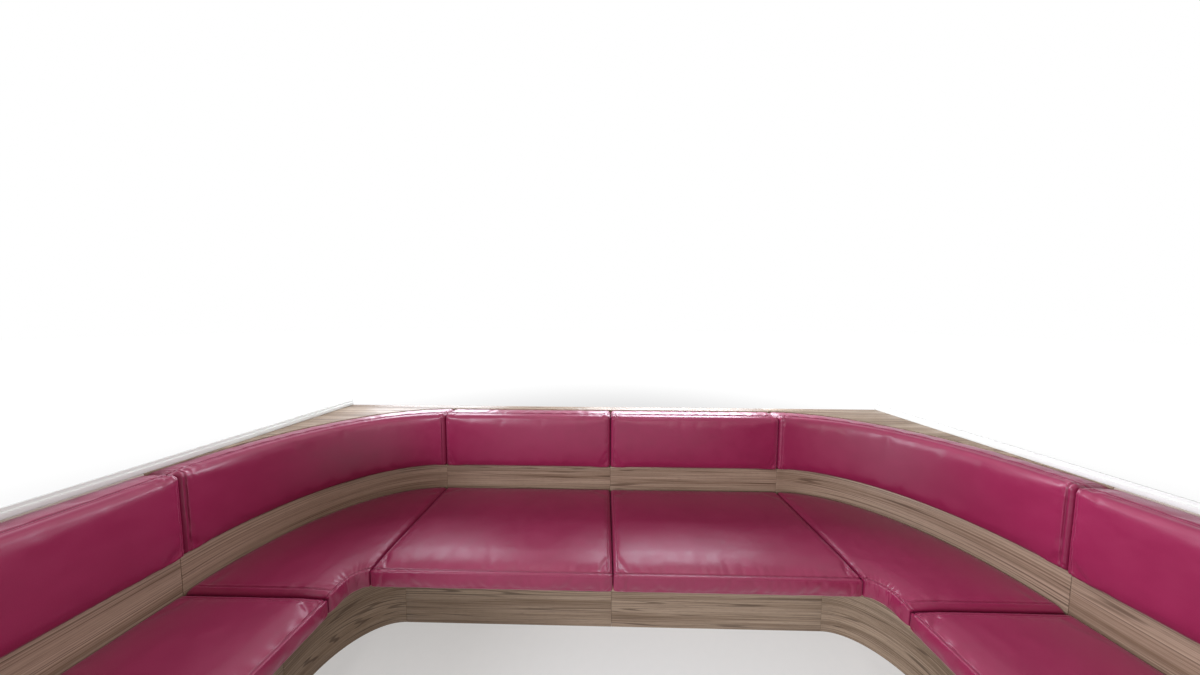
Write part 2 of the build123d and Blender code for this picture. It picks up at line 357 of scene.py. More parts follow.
def seat_corners(sizes, bay, inset):
    """Section of a seat cushion: border, its folded edge, the seam behind it, lip of the top, top, heel, rear."""
    low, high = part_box("seat_cushion_" + bay + "_right")
    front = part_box("seat_cushion_window_right")[0].y - CORNER_Y + 0.5 * inset
    rear, top = R_BAND - 0.0006, high.z - inset
    seam, behind = top - sizes.seam_drop + 0.3 * inset, front + sizes.ledge
    lip_depth, lip_share, fall_depth = 0.0025, 0.35, 0.085
    return [
        (front, low.z, 0.004, 3, 15, 0.4),
        (front, seam - 0.0005, 0.0035, 5, 4, 0.2),
        (behind, seam, 0.0, 1, 2, 0.0),
        (behind + lip_depth, seam + lip_share * (top - seam), 0.0020, 4, 17, 0.6),
        (behind + fall_depth, top, sizes.seat_roll, 6, 48, 0.3),
        (rear, top, sizes.seat_heel, 9, 6, 0.0),
        (rear, low.z, 0.003, 3, 12, 0.0),
    ]


# A kind of cushion: its section, the first corner of the edge up to the run's seam that isn't blown up, the
# corner that is that seam, the corners between which each panel lies with its share of the crown, the corners of
# the span that the end seams cross and of the stitched part of it, how hard the seam draws, which also sets how
# much painted shade its groove gets, and the size of the folds at the corners. The counts of points keep the seam
# on a row that the cloth has too.
Kind = namedtuple("Kind", "corners fold seam panels span stitched draw fan")
KINDS = {
    "back": Kind(back_corners, 2, 2, [(0, 2, 1.0), (2, 3, 0.3)], (0, 3), (0, 2), 1.0, 1.0),
    "seat": Kind(seat_corners, 1, 2, [(0, 1, 0.35), (2, 5, 1.0)], (0, 5), (2, 5), 0.4, 0.6),
}


def base_grid(sizes, kind_name, bay, side):
    """Grid of a cushion before it is blown up: its section at each ring, raised between the seams by the crown
    times the bump profiles of both directions. Its marks say where its seams lie and how they work."""
    kind = KINDS[kind_name]
    start, end = BAYS[bay]
    sharp = (kind_name, bay) == ("back", "arm")
    roll, seam_share = (sizes.arm_roll, 0.8) if sharp else (sizes.end_roll, 0.95)
    runs, insets, edge = crowded_rings(start + HALF_GAP, end - HALF_GAP, roll)
    loop, starts = rounded_loop(kind.corners(sizes, bay, insets))
    grid = place(side, runs[:, None], loop[..., 0], loop[..., 1])
    normal, around = grid_normals(grid), arc_lengths(grid, 1)
    lift = np.zeros(grid.shape[:2])
    for first, last, share in kind.panels:
        a, b = around[:, starts[first], None], around[:, starts[last], None]
        inside = (around >= a) & (around <= b)
        lift += np.where(inside, share * bump_profile((around - a) / (b - a)), 0)
    lift *= bump_profile((runs - start) / (end - start))[:, None] * sizes.crown
    marks = {
        "edge": edge, "end_seam": seam_share * roll * math.pi / 2,
        "fold": starts[kind.fold], "seam": starts[kind.seam],
        "span": [starts[corner] for corner in kind.span],
        "stitched": [starts[corner] for corner in kind.stitched],
        "draw": kind.draw, "fan": kind.fan,
        "below": sizes.ledge if kind_name == "seat" else 0.0,
        "gather": 2.0 if bay == "corner" else 0.7}
    return grid + normal * lift[..., None], marks


def held_points(grid, marks):
    """Points that the cloth keeps: its ends as far as their seams, its run's seam with the folded edge before it,
    and all behind and below the span."""
    held = np.zeros(grid.shape[:2])
    held[:, :marks["span"][0] + 2] = 1
    held[:, marks["span"][1]:] = 1
    held[:, marks["fold"]:marks["seam"] + 1] = 1
    held[marks["edge"] < marks["end_seam"] + 0.001] = 1
    return held


def blow_up(sizes, cushions):
    """How far the points of each cushion move when all are blown up as cloth, with their seams held. The
    simulated move m of a coarse grid is held to swell times tanh of m over swell."""
    scene = bpy.context.scene
    settings = {
        "quality": 6, "mass": 0.25, "tension_stiffness": 12, "compression_stiffness": 8, "shear_stiffness": 5,
        "bending_stiffness": 0.6, "use_pressure": True, "uniform_pressure_force": sizes.pressure,
        "vertex_group_mass": "held", "shrink_min": -sizes.slack}
    cloths = []
    for name, (grid, marks) in cushions.items():
        coarse, held = grid[::COARSE, ::COARSE], held_points(grid, marks)[::COARSE, ::COARSE]
        mesh = closed_mesh(name + "_cloth", coarse)
        obj = bpy.data.objects.new(mesh.name, mesh)
        scene.collection.objects.link(obj)
        caps = len(CAP) * coarse.shape[1]
        points = np.flatnonzero(held.ravel()) + caps
        ends = np.r_[0:caps, caps + held.size:len(mesh.vertices)]
        obj.vertex_groups.new(name="held").add(np.concatenate([points, ends]).tolist(), 1.0, "REPLACE")
        cloth = obj.modifiers.new("cloth", "CLOTH")
        for setting, value in settings.items():
            setattr(cloth.settings, setting, value)
        cloth.settings.effector_weights.gravity = 0
        cloth.collision_settings.use_collision = False
        cloth.point_cache.frame_start = 1
        cloth.point_cache.frame_end = CLOTH_FRAMES
        cloths.append((name, obj, coarse, caps))
    for step in range(1, CLOTH_FRAMES + 1):
        scene.frame_set(step)
    graph = bpy.context.evaluated_depsgraph_get()
    moves = {}
    for name, obj, coarse, caps in cloths:
        blown = obj.evaluated_get(graph).data
        points = np.zeros(len(blown.vertices) * 3, np.float32)
        blown.vertices.foreach_get("co", points)
        points = points.reshape(-1, 3)[caps:caps + coarse.shape[0] * coarse.shape[1]]
        move = points.reshape(coarse.shape).astype(float) - coarse
        size = np.linalg.norm(move, axis=-1, keepdims=True)
        moves[name] = move * sizes.swell * np.tanh(size / sizes.swell) / np.maximum(size, 1e-9)
    for _, obj, _, _ in cloths:
        mesh = obj.data
        bpy.data.objects.remove(obj)
        bpy.data.meshes.remove(mesh)
    scene.frame_set(1)
    return moves


def spline_weights(count, closed):
    """Cubic B-spline weights that carry values from count coarse rows to the finished rows."""
    rows = count * COARSE if closed else (count - 1) * COARSE + 1
    distance = np.abs(np.arange(rows)[:, None] / COARSE - np.arange(count)[None])
    if closed:
        distance = np.minimum(distance, count - distance)
    near = 2 / 3 - distance ** 2 + distance ** 3 / 2
    far = np.clip(2 - distance, 0, None) ** 3 / 6
    weights = np.where(distance < 1, near, far)
    return weights / weights.sum(1, keepdims=True)


def seam_parts(seam, from_seam, way, rng):
    """Groove, ridges, folds and their fade for one seam: bell curves of the distance to it, which strays by a
    ripple of the way along it, a ripple across it, and its fall with the distance."""
    distance = from_seam + seam.stray * ripple(way, rng, seam.stray_waves)
    groove = hump(distance, seam.groove)
    ridges = hump(np.abs(distance) - seam.crest, seam.ridge)
    return groove, ridges, ripple(way, rng, seam.fold_waves), np.exp(-np.abs(distance) / seam.reach)


def sewn(sizes, grid, marks, rng):
    """Seams, folds and unevenness of a cushion, as a rise along its normals, and how deep in a seam each point
    is, which is the mask of the painted shade in the seams. A seam is a groove between two low ridges, with folds
    across it. The end seams cross the span. Slanting folds fan out from the corners, where the seams draw the
    cover in."""
    around, along = arc_lengths(grid, 1), arc_lengths(grid, 0)
    first, last = marks["span"]
    way = along[:, (first + last) // 2][:, None]
    from_end = marks["edge"][:, None] - marks["end_seam"]
    rear = np.clip((around[:, last, None] - around) / REAR_FADE, 0, 1)
    cover = rear * np.clip(around / FRONT_FADE, 0, 1)
    shown = rear * np.clip((around - around[:, marks["stitched"][0], None]) / FRONT_FADE, 0, 1)
    from_seam = around - around[:, marks["seam"], None]
    groove, ridges, folds, fade = seam_parts(RUN_SEAM, from_seam, way, rng)
    rise = sizes.seam_depth * marks["draw"] * (RUN_SEAM.lift * ridges - RUN_SEAM.sink * groove)
    loose = marks["gather"] + END_GATHER * hump(from_end, GATHER_REACH)
    rise = rise + sizes.pucker * loose * folds * fade * (1 - groove)
    # Painted shade in the run's seam groove, as strong as the seam draws.
    crease = marks["draw"] * groove
    for near_end in (way < way[-1] / 2, way >= way[-1] / 2):
        groove, ridges, folds, fade = seam_parts(END_SEAM, from_end, around, rng)
        here = shown * near_end
        groove, ridges = groove * here, ridges * here
        rise = rise + sizes.seam_depth * (END_SEAM.lift * ridges - END_SEAM.sink * groove)
        rise = rise + sizes.pucker * folds * (fade * here * (1 - groove))
        # The end seams' grooves get a weaker painted shade.
        crease = np.maximum(crease, END_SEAM_PAINTED_SHADE * groove)
        for spot in (marks["seam"], first):
            reach = np.hypot(from_end, around - around[:, spot, None])
            slant = ripple(around + np.where(near_end, 1, -1) * way, rng, FAN.waves)
            folds = slant * hump(reach - FAN.crest * marks["fan"], FAN.spread * marks["fan"])
            rise = rise + near_end * cover * marks["fan"] * FAN.height * (folds - hump(reach, FAN.dent))
    return rise + cover * sum(height * mottle(grid, rng, size) for height, size in UNEVEN), crease


def seam_rows(grid, marks, offset):
    """Lines of points beside the seams of a cushion, each with its normals: one beside the run's seam, from end
    seam to end seam, and one inside each end seam."""
    normal, around = grid_normals(grid), arc_lengths(grid, 1)
    inner = np.flatnonzero(marks["edge"] > marks["end_seam"] + offset)
    spot = around[inner, marks["seam"]] - offset - marks["below"]
    column = (around[inner] < spot[:, None]).sum(1)
    before, after = around[inner, column - 1], around[inner, column]
    share = ((spot - before) / (after - before))[:, None]
    rows = [(grid[inner, column - 1] * (1 - share) + grid[inner, column] * share, normal[inner, column])]
    columns = slice(marks["stitched"][0] + 4, marks["stitched"][1] - 2)
    return rows + [(grid[ring, columns], normal[ring, columns]) for ring in (inner[0], inner[-1])]


def stitch_row(points, normals, sizes):
    """Row of stitches along a line of points: each stitch is three rings of five points round the line, the
    middle one as wide as the thread and the outer ones narrow, sunk to their middles in the cover."""
    widths, lifts, sides = (0.35, 1.0, 0.35), (-0.3, 0.75, -0.3), 5
    distance = np.concatenate([[0], np.cumsum(np.linalg.norm(np.diff(points, axis=0), axis=-1))])
    count = int((distance[-1] - sizes.length) / sizes.pitch)
    at = (np.arange(count)[:, None] * sizes.pitch + sizes.length * np.array([0.0, 0.5, 1.0])).ravel()
    centre, normal = (
        np.stack([np.interp(at, distance, values[:, k]) for k in range(3)], -1).reshape(count, 3, 3)
        for values in (points, normals))
    forward = centre[:, 2:] - centre[:, :1]
    across = np.cross(forward, normal)
    across /= np.linalg.norm(across, axis=-1, keepdims=True)
    normal = np.cross(across, forward)
    normal /= np.linalg.norm(normal, axis=-1, keepdims=True)
    angle = 2 * math.pi * np.arange(sides) / sides
    radius = sizes.radius * np.array(widths)[:, None, None]
    circle = np.cos(angle)[:, None] * normal[:, :, None] + np.sin(angle)[:, None] * across[:, :, None]
    lift = sizes.radius * np.array(lifts)[:, None]
    return (centre + normal * lift)[:, :, None] + radius * circle


def stitch_mesh(name, rows):
    """Mesh of all stitches of a cushion: the rings of each joined by four-sided faces, with a lid at each end."""
    stitches = np.concatenate(rows)
    index = np.arange(stitches[..., 0].size).reshape(stitches.shape[:-1])
    beside = np.roll(index, -1, 2)
    quads = np.stack([index[:, :-1], beside[:, :-1], beside[:, 1:], index[:, 1:]], -1).reshape(-1, 4)
    lids = np.concatenate([index[:, 0, ::-1], index[:, 2]])
    if face_inwards(stitches[0].reshape(-1, 3), quads[:stitches.shape[2]]):
        quads, lids = quads[:, ::-1], lids[:, ::-1]
    return mesh_of(name, stitches.reshape(-1, 3), quads, lids)


def cushion_set(kind):
    """Cushions of one kind in all bays and on both sides, with their stitching."""
    scene = bpy.context.scene
    sizes, stitches = scene.bench_cushions, scene.bench_stitches
    cushions = {}
    for bay in BAYS:
        for side_name, side in SIDES.items():
            cushions[f"{kind}_cushion_{bay}_{side_name}"] = base_grid(sizes, kind, bay, side)
    moves = blow_up(sizes, cushions)
    for number, (node, (grid, marks)) in enumerate(cushions.items()):
        rng = np.random.default_rng([sizes.seed, ord(kind[0]), number])
        if node in moves:
            rows = spline_weights(moves[node].shape[0], False)
            columns = spline_weights(moves[node].shape[1], True)
            grid = grid + np.einsum("ia,abk,jb->ijk", rows, moves[node], columns)
        rise, crease = sewn(sizes, grid, marks, rng)
        grid = grid + grid_normals(grid) * rise[..., None]
        mesh = closed_mesh("upholstered_" + node, grid)
        caps = np.zeros(len(CAP) * grid.shape[1])
        # The seam mask rides on the mesh, for the painted shade and the rougher cover in the seams.
        depth = mesh.attributes.new("crease", "FLOAT", "POINT")
        depth.data.foreach_set("value", np.concatenate([caps, crease.ravel(), caps, [0, 0]]).astype(np.float32))
        pad = put(mesh, leather_material())
        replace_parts(pad, node)
        rows = [stitch_row(*row, stitches) for row in seam_rows(grid, marks, stitches.offset)]
        put(stitch_mesh("stitching_" + node, rows), thread_material())


# Panels

def panel_piece(family, bay, side_name):
    """Laminate panel along one bay: the flat section of a straight one, carried along the run, with eased edges
    and ends."""
    ease, gap, steps = 0.0011, 0.0004, 61 if bay == "corner" else 13
    straight = "arm" if bay == "arm" else "window"
    node = f"{family}_{straight}_right"
    low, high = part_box(node)
    r_low, r_high = (
        (low.x - BAY, high.x - BAY) if bay == "arm" else (low.y - CORNER_Y, high.y - CORNER_Y))
    start, end = BAYS[bay]
    runs, inset = ring_places(start + gap, end - gap, ease, steps)
    loop, _ = rounded_loop([
        (r_low + inset, low.z + inset, ease, ARC_POINTS, 5, 0.0),
        (r_low + inset, high.z - inset, ease, ARC_POINTS, 2, 0.0),
        (r_high - inset, high.z - inset, ease, ARC_POINTS, 5, 0.0),
        (r_high - inset, low.z + inset, ease, ARC_POINTS, 2, 0.0)])
    grid = place(SIDES[side_name], runs[:, None], loop[..., 0], loop[..., 1])
    mesh = closed_mesh(f"panel_{family}_{bay}_{side_name}", grid)
    piece = put(mesh, laminate_material("run"))
    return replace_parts(piece, f"{family}_{bay}_{side_name}")


def trim_piece(side_name):
    """Trim strip on an arm's capping: two steps over a shadow groove, its section carried along the partition and
    shrunk towards its middle at the eased ends."""
    low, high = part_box("trim_strip_right")
    gap, end_ease, ease, across = 0.0003, 0.0008, 0.0012, 0.012
    step_back, step_top, groove = 0.006, low.z + 0.019, 0.003
    r_low, r_high = low.x - BAY, high.x - BAY
    runs, insets = ring_places(gap, high.y - low.y - gap, end_ease, 9)
    points = [
        (r_low + groove, low.z, 0.0003), (r_low + groove, low.z + groove, 0.0004),
        (r_low, low.z + groove, 0.0009), (r_low, step_top, ease), (r_low + step_back, step_top, ease),
        (r_low + step_back, high.z, ease), (r_high, high.z, 0.0005), (r_high, low.z, 0.0003)]
    zeros = np.zeros_like(insets)
    loop, _ = rounded_loop([(r + zeros, z + zeros, radius, ARC_POINTS, 1, 0.0) for r, z, radius in points])
    centre = loop.mean(1, keepdims=True)
    loop = loop + (centre - loop) * (insets / across)[:, None, None]
    x, y = SIDES[side_name] * (BAY + loop[..., 0]), np.broadcast_to((high.y - runs)[:, None], loop.shape[:2])
    mesh = closed_mesh("profile_trim_" + side_name, np.stack([x, y, loop[..., 1]], -1))
    piece = put(mesh, trim_material())
    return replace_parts(piece, "trim_strip_" + side_name)


def eased_copy(node, material):
    """Copy of a flat CAD piece with its facets merged and its edges eased by a bevel."""
    width, sharpest_smooth = 0.001, math.radians(40)
    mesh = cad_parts[node].data.copy()
    mesh.name = "eased_" + node
    mesh.materials.clear()
    form = bmesh.new()
    form.from_mesh(mesh)
    bmesh.ops.remove_doubles(form, verts=form.verts, dist=1e-5)
    bmesh.ops.dissolve_limit(form, angle_limit=0.01, verts=form.verts, edges=form.edges)
    bmesh.ops.recalc_face_normals(form, faces=form.faces)
    form.to_mesh(mesh)
    form.free()
    piece = put(mesh, material)
    bevel = piece.modifiers.new("ease", "BEVEL")
    bevel.width, bevel.segments = width, 2
    bevel.limit_method, bevel.angle_limit = "ANGLE", sharpest_smooth
    bevel.harden_normals = True
    mesh.polygons.foreach_set("use_smooth", np.ones(len(mesh.polygons), bool))
    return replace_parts(piece, node)


# Materials

class Nodes:
    """Adds shader nodes to a tree. An input is set to a value, or linked where it is given a socket."""

    def __init__(self, tree):
        self.tree = tree

    def feed(self, node, inputs):
        """Outputs of a node, once its inputs are set or linked."""
        for name, value in inputs.items():
            if isinstance(value, bpy.types.NodeSocket):
                self.tree.links.new(value, node.inputs[name])
            else:
                node.inputs[name].default_value = value
        return node.outputs

    def add(self, kind, inputs=None, **settings):
        """Outputs of a new node."""
        node = self.tree.nodes.new("ShaderNode" + kind)
        for name, value in settings.items():
            setattr(node, name, value)
        return self.feed(node, inputs or {})

    def math(self, operation, a, b=0.0, c=0.0):
        """Result of one sum."""
        return self.add("Math", {0: a, 1: b, 2: c}, operation=operation)[0]

    def times(self, a, b):
        """Product of two values."""
        return self.math("MULTIPLY", a, b)

    def scaled(self, a, factor, base):
        """A value times a factor, added to a base."""
        return self.math("MULTIPLY_ADD", a, factor, base)

    def ramp(self, value, low, high, to_low=0.0, to_high=1.0):
        """The value carried smoothly from one span to another."""
        return self.add("MapRange", {0: value, 1: low, 2: high, 3: to_low, 4: to_high},
                        interpolation_type="SMOOTHSTEP")[0]

    def noise(self, vector, scale, detail=2.0, roughness=0.5, distortion=0.0):
        """Noise at a number of repeats to the metre."""
        return self.add("TexNoise", {"Vector": vector, "Scale": scale, "Detail": detail,
                                     "Roughness": roughness, "Distortion": distortion})[0]

    def cells(self, vector, scale, feature):
        """Distance to the middle of the nearest cell."""
        return self.add("TexVoronoi", {"Vector": vector, "Scale": scale}, feature=feature)["Distance"]

    def mix(self, share, a, b, blend="MIX"):
        """Mix of two colours."""
        return self.add("Mix", {0: share, 6: a, 7: b}, data_type="RGBA", blend_type=blend)[2]

    def tint(self, a, b):
        """Product of two colours."""
        return self.mix(1.0, a, b, "MULTIPLY")

    def mix_vectors(self, share, a, b):
        """Mix of two vectors."""
        return self.add("Mix", {0: share, 4: a, 5: b}, data_type="VECTOR")[1]

    def spot(self):
        """Object coordinates."""
        return self.add("TexCoord")["Object"]

    def split(self, vector):
        """The three parts of a vector."""
        return self.add("SeparateXYZ", {0: vector})

    def join(self, x, y, z):
        """Vector of three parts."""
        return self.add("CombineXYZ", {0: x, 1: y, 2: z})[0]

    def facing(self, axis):
        """How squarely the surface faces along an axis, either way."""
        return self.math("ABSOLUTE", self.split(self.add("NewGeometry")["Normal"])[axis])

    def bump(self, height, strength, distance):
        """Normal of a relief."""
        return self.add("Bump", {"Height": height, "Strength": strength, "Distance": distance})[0]

    def group(self, tree, inputs=None):
        """Outputs of a group placed in this tree."""
        return self.add("Group", inputs, node_tree=tree)

    def wear(self, amount):
        """Mask of the handling wear."""
        return self.group(wear_group(), {"Amount": amount})["Mask"]

    def wood(self, vector, light, dark, streaks):
        """Outputs of the wood grain."""
        return self.group(grain_group(), {"Vector": vector, "Light": light, "Dark": dark, "Streaks": streaks})

    def seen(self):
        """1 for what the camera sees, also through glass or in a reflection."""
        path = self.add("LightPath")
        seen = self.math("MAXIMUM", path["Is Camera Ray"], path["Is Transmission Ray"])
        return self.math("MAXIMUM", seen, path["Is Glossy Ray"])


def shade(light, *factors):
    """A colour times a factor for each channel, or one for all, at most 1."""
    factors = factors * 3 if len(factors) == 1 else factors
    return tuple(min(1, c * k) for c, k in zip(light, factors)) + (1,)


def node_group(name, outputs, inputs=()):
    """Turns a function that gives what a group puts out into one that gives the group, built once."""
    def wrap(fill):
        @wraps(fill)
        def group_of():
            tree = bpy.data.node_groups.get(name)
            if tree:
                return tree
            tree = bpy.data.node_groups.new(name, "ShaderNodeTree")
            for label, kind, value in inputs:
                socket = tree.interface.new_socket(label, in_out="INPUT", socket_type="NodeSocket" + kind)
                if value is not None:
                    socket.default_value = value
            for label, kind in outputs.items():
                tree.interface.new_socket(label, in_out="OUTPUT", socket_type="NodeSocket" + kind)
            nodes = Nodes(tree)
            results = fill(nodes, tree.nodes.new("NodeGroupInput").outputs)
            nodes.feed(tree.nodes.new("NodeGroupOutput"), results)
            return tree
        return group_of
    return wrap


@node_group("Bench Run", {"Run": "Float", "Height": "Float", "Radius": "Float"})
def run_group(nodes, _):
    """Coordinates that follow the bench: run along the band, height, and r out from the corner's centre line."""
    x, y, z = nodes.split(nodes.spot())
    across = nodes.math("ABSOLUTE", x)
    out_x = nodes.math("MAXIMUM", nodes.math("SUBTRACT", across, BAY), 0.0)
    off_y = nodes.math("SUBTRACT", y, CORNER_Y)
    out_y = nodes.math("MAXIMUM", off_y, 0.0)
    back_y = nodes.math("MAXIMUM", nodes.times(off_y, -1.0), 0.0)
    angle = nodes.math("ARCTAN2", out_x, nodes.math("MAXIMUM", out_y, 0.00001))
    run = nodes.math("ADD", nodes.math("MINIMUM", across, BAY), nodes.times(angle, R_BAND))
    run = nodes.times(nodes.math("ADD", run, back_y), nodes.math("SIGN", x))
    square = nodes.math("ADD", nodes.math("POWER", out_x, 2.0), nodes.math("POWER", out_y, 2.0))
    return {"Run": run, "Height": z, "Radius": nodes.math("SQRT", square)}


@node_group("Wood Grain", {"Color": "Color", "Height": "Float", "Tone": "Float"}, [
    ("Vector", "Vector", None), ("Light", "Color", (0.5, 0.4, 0.3, 1)), ("Dark", "Color", (0.3, 0.2, 0.1, 1)),
    ("Streaks", "Float", 0.5)])
def grain_group(nodes, given):
    """Wood grain, stretched along the run: a broad figure, fibres, thin dark lines that follow the levels of a
    slow noise as growth rings do, and short pores."""
    def streaks(along, across, shift=(0, 0, 0), **noise):
        stretched = nodes.add("Mapping", {
            "Vector": given["Vector"], "Scale": (along, across, across), "Location": shift})[0]
        return nodes.noise(stretched, 1.0, **noise)

    figure = nodes.ramp(streaks(0.6, 21.0, distortion=0.2), 0.36, 0.64)
    fibres = nodes.ramp(streaks(1.6, 210.0, detail=3.0, roughness=0.65), 0.36, 0.64)
    growth = streaks(0.4, 22.0, (3, 5, 1), detail=1.0, roughness=0.4, distortion=0.15)
    rings = nodes.ramp(nodes.math("SINE", nodes.times(growth, 95.0)), 0.45, 1.0)
    shown = nodes.ramp(streaks(0.9, 40.0, (8, 2, 4)), 0.42, 0.58)
    pores = nodes.ramp(streaks(26.0, 820.0, detail=1.0), 0.58, 0.70)
    tone = nodes.scaled(figure, 0.4, nodes.times(fibres, 0.6))
    base = nodes.mix(tone, given["Light"], given["Dark"])
    dark = nodes.tint(given["Dark"], (0.50, 0.45, 0.42, 1))
    lines = nodes.math("MAXIMUM", nodes.times(rings, shown), nodes.times(pores, 0.5))
    return {"Color": nodes.mix(nodes.times(lines, given["Streaks"]), base, dark),
            "Height": nodes.scaled(fibres, 0.4, nodes.times(pores, -1.0)), "Tone": tone}


@node_group("Handling Wear", {"Mask": "Float"}, [("Amount", "Float", 0.5)])
def wear_group(nodes, given):
    """Handling marks: a patchy mask of faint smears and fine scuffs."""
    spot = nodes.spot()
    smears = nodes.ramp(nodes.noise(spot, 5.0, 4.0, 0.6, 0.4), 0.45, 0.75)
    return {"Mask": nodes.times(nodes.scaled(nodes.noise(spot, 60.0, 3.0, 0.6), 0.4, smears), given["Amount"])}


@node_group("Leatherette Grain", {"Height": "Float", "Tone": "Float", "Gloss": "Float"}, [
    ("Scale", "Float", 650.0)])
def leather_group(nodes, given):
    """Pressed leatherette grain: pebbles from cells at two sizes, with a soft mottle of tone and gloss."""
    spot = nodes.spot()
    shaken = nodes.add("TexNoise", {"Vector": spot, "Scale": 240.0})["Color"]
    warped = nodes.mix_vectors(0.0012, spot, shaken)
    pebbles = nodes.cells(warped, given["Scale"], "SMOOTH_F1")
    small = nodes.cells(warped, nodes.times(given["Scale"], 2.3), "F1")
    patches = nodes.noise(spot, 17.0, 4.0, 0.6)
    tone = nodes.scaled(patches, 0.4, nodes.times(nodes.noise(spot, 3.2, 3.0, 0.55), 0.6))
    return {"Height": nodes.scaled(small, -0.35, nodes.times(pebbles, -1.0)),
            "Tone": nodes.ramp(tone, 0.32, 0.68), "Gloss": nodes.ramp(patches, 0.3, 0.7)}


def surface(prefix):
    """Turns a function that gives the sockets of a Principled BSDF into one that gives the material, built once.
    The kind it is called with, if any, ends the material's name."""
    def wrap(build):
        @wraps(build)
        def material_of(*kind):
            name = prefix + "".join(kind)
            material = bpy.data.materials.get(name)
            if material:
                return material
            material = bpy.data.materials.new(name)
            material.use_nodes = True
            nodes = Nodes(material.node_tree)
            sockets = build(nodes, bpy.context.scene.bench_finish, *kind)
            nodes.feed(material.node_tree.nodes["Principled BSDF"], sockets)
            return material
        return material_of
    return wrap


@surface("leatherette")
def leather_material(nodes, finish):
    """Leatherette: burgundy with a soft mottle, painted shade in the seams, pressed grain, satin gloss."""
    grain = nodes.group(leather_group(), {"Scale": 620.0})
    crease = nodes.add("Attribute", attribute_name="crease")["Fac"]
    light = nodes.tint(finish.leather, (1.12, 1.15, 1.15, 1))
    tone = nodes.mix(grain["Tone"], finish.leather, light)
    rough = nodes.scaled(nodes.wear(0.4), -0.05, nodes.ramp(grain["Gloss"], 0, 1, 0.30, 0.38))
    # Painted shade: the seam mask darkens the cover towards its shade colour in the grooves.
    return {"Base Color": nodes.mix(nodes.times(crease, 0.75), tone, finish.leather_painted_shade),
            "Roughness": nodes.scaled(crease, 0.2, rough),
            "Normal": nodes.bump(grain["Height"], 0.3, 0.0005), "Specular IOR Level": 0.5,
            "Sheen Weight": 0.06, "Sheen Roughness": 0.45, "Sheen Tint": (0.9, 0.82, 1, 1)}


@surface("thread")
def thread_material(nodes, finish):
    """Thread: a shade lighter than the cover, twisted and matt."""
    twist = nodes.noise(nodes.spot(), 1400.0)
    return {"Base Color": nodes.mix(twist, finish.leather, finish.thread),
            "Roughness": nodes.ramp(twist, 0, 1, 0.5, 0.75), "Normal": nodes.bump(twist, 0.5, 0.0002)}


@surface("wood_laminate_")
def laminate_material(nodes, finish, grain_way):
    """Satin wood laminate, its grain along the run, upright, or along x and turned on edges that face x, and
    shifted from sheet to sheet."""
    if grain_way == "run":
        along, up, across = nodes.group(run_group())
    else:
        spot = nodes.spot()
        x, y, z = nodes.split(spot)
        along, up, across = z, x, y
    if grain_way == "x":
        edge = nodes.ramp(nodes.facing(0), 0.6, 0.8)
        along, up, across = nodes.split(nodes.mix_vectors(edge, spot, nodes.join(y, z, x)))
    shift = nodes.times(nodes.add("ObjectInfo")["Random"], 7.0)
    vector = nodes.join(nodes.math("ADD", along, shift), nodes.math("ADD", up, shift), across)
    grain = nodes.wood(vector, finish.laminate, finish.laminate_dark, 0.8)
    rough = nodes.scaled(nodes.wear(0.5), 0.06, nodes.ramp(grain["Tone"], 0, 1, 0.42, 0.54))
    return {"Base Color": grain["Color"], "Roughness": rough,
            "Normal": nodes.bump(grain["Height"], 0.25, 0.0003), "Specular IOR Level": 0.45}


def worn(nodes, own, dull, marked, gloss, relief):
    """Sockets of a plain finish with faint handling marks and a fine relief. The marks take their share of the
    colour towards its dull tint. Gloss is the roughness and what the marks add to it, and relief is the noise's
    scale and the bump's strength."""
    wear = nodes.wear(0.6)
    return {"Base Color": nodes.mix(nodes.times(wear, marked), own, nodes.tint(own, dull)),
            "Roughness": nodes.scaled(wear, gloss[1], gloss[0]),
            "Normal": nodes.bump(nodes.noise(nodes.spot(), relief[0]), relief[1], 0.0002)}


@surface("matt_lipping")
def lipping_material(nodes, finish):
    """Matt beige lipping."""
    return worn(nodes, finish.lipping, (0.86, 0.84, 0.82, 1), 0.5, (0.55, 0.1), (900.0, 0.2))


@surface("cream_trim")
def trim_material(nodes, finish):
    """Cream profile in satin paint, with a fine orange peel."""
    return worn(nodes, finish.trim, (0.82, 0.8, 0.76, 1), 0.35, (0.34, 0.12), (420.0, 0.12))


@surface("plywood_")
def plywood_material(nodes, finish, family):
    """Birch plywood: pale veneer faces with a faint grain, and layered edges."""
    layer_pitch = 0.0036
    light = finish.plywood
    run, height, radius = nodes.group(run_group())
    grain = nodes.wood(nodes.join(run, height, radius), light, shade(light, 0.72, 0.66, 0.58), 0.15)
    across = {"seat": height, "rib": run, "back": radius}[family]
    layer = nodes.math("SINE", nodes.times(across, 2 * math.pi / layer_pitch))
    flat = nodes.facing(2)
    edge = nodes.math("SUBTRACT", 1.0, flat) if family == "seat" else flat
    layers = nodes.times(nodes.ramp(layer, 0.0, 0.5), nodes.ramp(edge, 0.4, 0.6))
    return {"Base Color": nodes.mix(nodes.times(layers, 0.7), grain["Color"], shade(light, 0.55)),
            "Roughness": nodes.ramp(grain["Tone"], 0, 1, 0.5, 0.62),
            "Normal": nodes.bump(grain["Height"], 0.3, 0.0003), "Specular IOR Level": 0.35}


@surface("softwood")
def batten_material(nodes, finish):
    """Planed softwood, its grain up the battens."""
    x, y, z = nodes.split(nodes.spot())
    grain = nodes.wood(nodes.join(z, x, y), finish.batten, shade(finish.batten, 0.7, 0.6, 0.5), 0.4)
    return {"Base Color": grain["Color"], "Roughness": nodes.ramp(grain["Tone"], 0, 1, 0.55, 0.7),
            "Normal": nodes.bump(grain["Height"], 0.4, 0.0005)}


